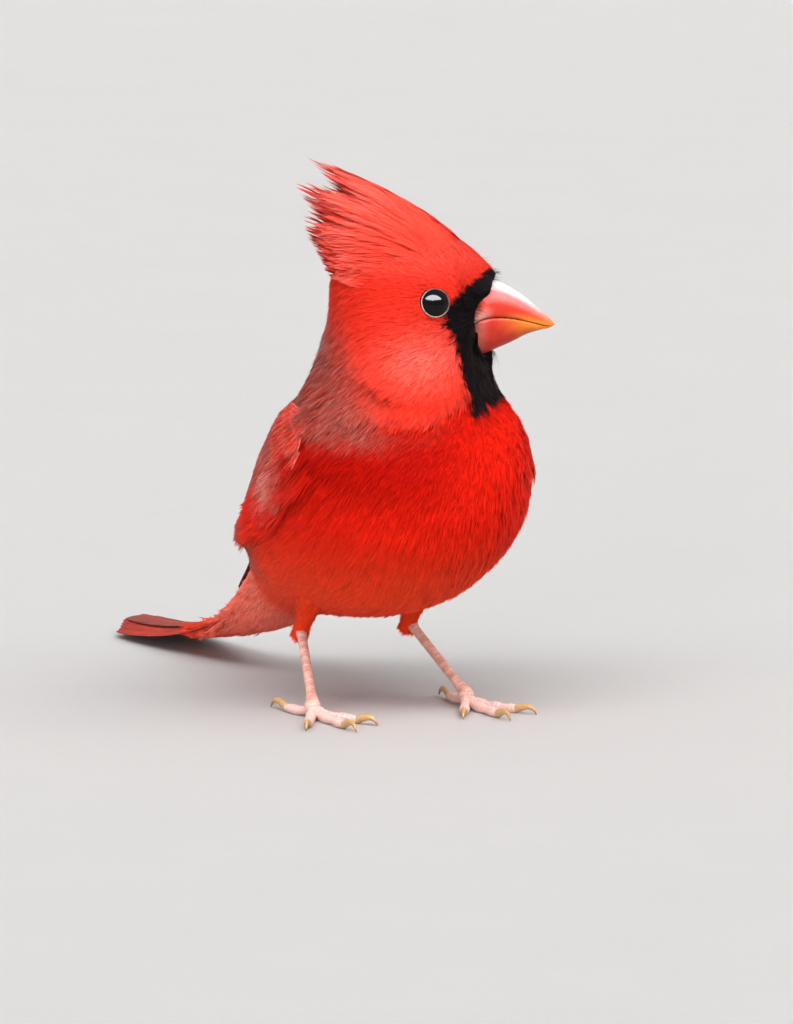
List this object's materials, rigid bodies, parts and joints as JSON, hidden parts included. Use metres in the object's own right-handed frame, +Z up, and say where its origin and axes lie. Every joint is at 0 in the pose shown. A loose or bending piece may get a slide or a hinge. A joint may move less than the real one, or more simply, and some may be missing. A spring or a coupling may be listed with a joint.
{
  "type": "northern cardinal model",
  "caption": "Life-size adult male northern cardinal, standing with its head turned to its left, its crest raised and its tail laid on the floor.",
  "frame": {"origin": "on the floor, under the centre of the bird's bounding box", "axes": "+X the way the body faces, +Y to the bird's left, +Z up"},
  "size_m": [0.18, 0.064, 0.128],
  "materials": {
    "plumage": "matte red body feathers",
    "mask": "matte black face feathers",
    "crest": "matte light red crest feathers",
    "wing": "matte brownish red flight feathers",
    "tail": "matte dark red tail feathers",
    "bill": "satin coral horn",
    "eye": "gloss dark brown",
    "leg": "scaly pinkish skin",
    "claw": "satin brown horn"
  },
  "bodies": {
    "root": {"torso": "plumage", "neck": "plumage", "head": "plumage", "face_mask": "mask", "crest": "crest", "thigh_left": "plumage", "thigh_right": "plumage", "wing_left": "wing", "wing_right": "wing", "tail": "tail", "bill_upper": "bill", "bill_lower": "bill", "eye_left": "eye", "eye_right": "eye", "shank_left": "leg", "shank_right": "leg", "foot_left": "leg", "foot_right": "leg", "toe_left_1": "leg", "claw_left_1": "claw", "toe_left_2": "leg", "claw_left_2": "claw", "toe_left_3": "leg", "claw_left_3": "claw", "toe_left_4": "leg", "claw_left_4": "claw", "toe_right_1": "leg", "claw_right_1": "claw", "toe_right_2": "leg", "claw_right_2": "claw", "toe_right_3": "leg", "claw_right_3": "claw", "toe_right_4": "leg", "claw_right_4": "claw"}
  },
  "joints": []
}
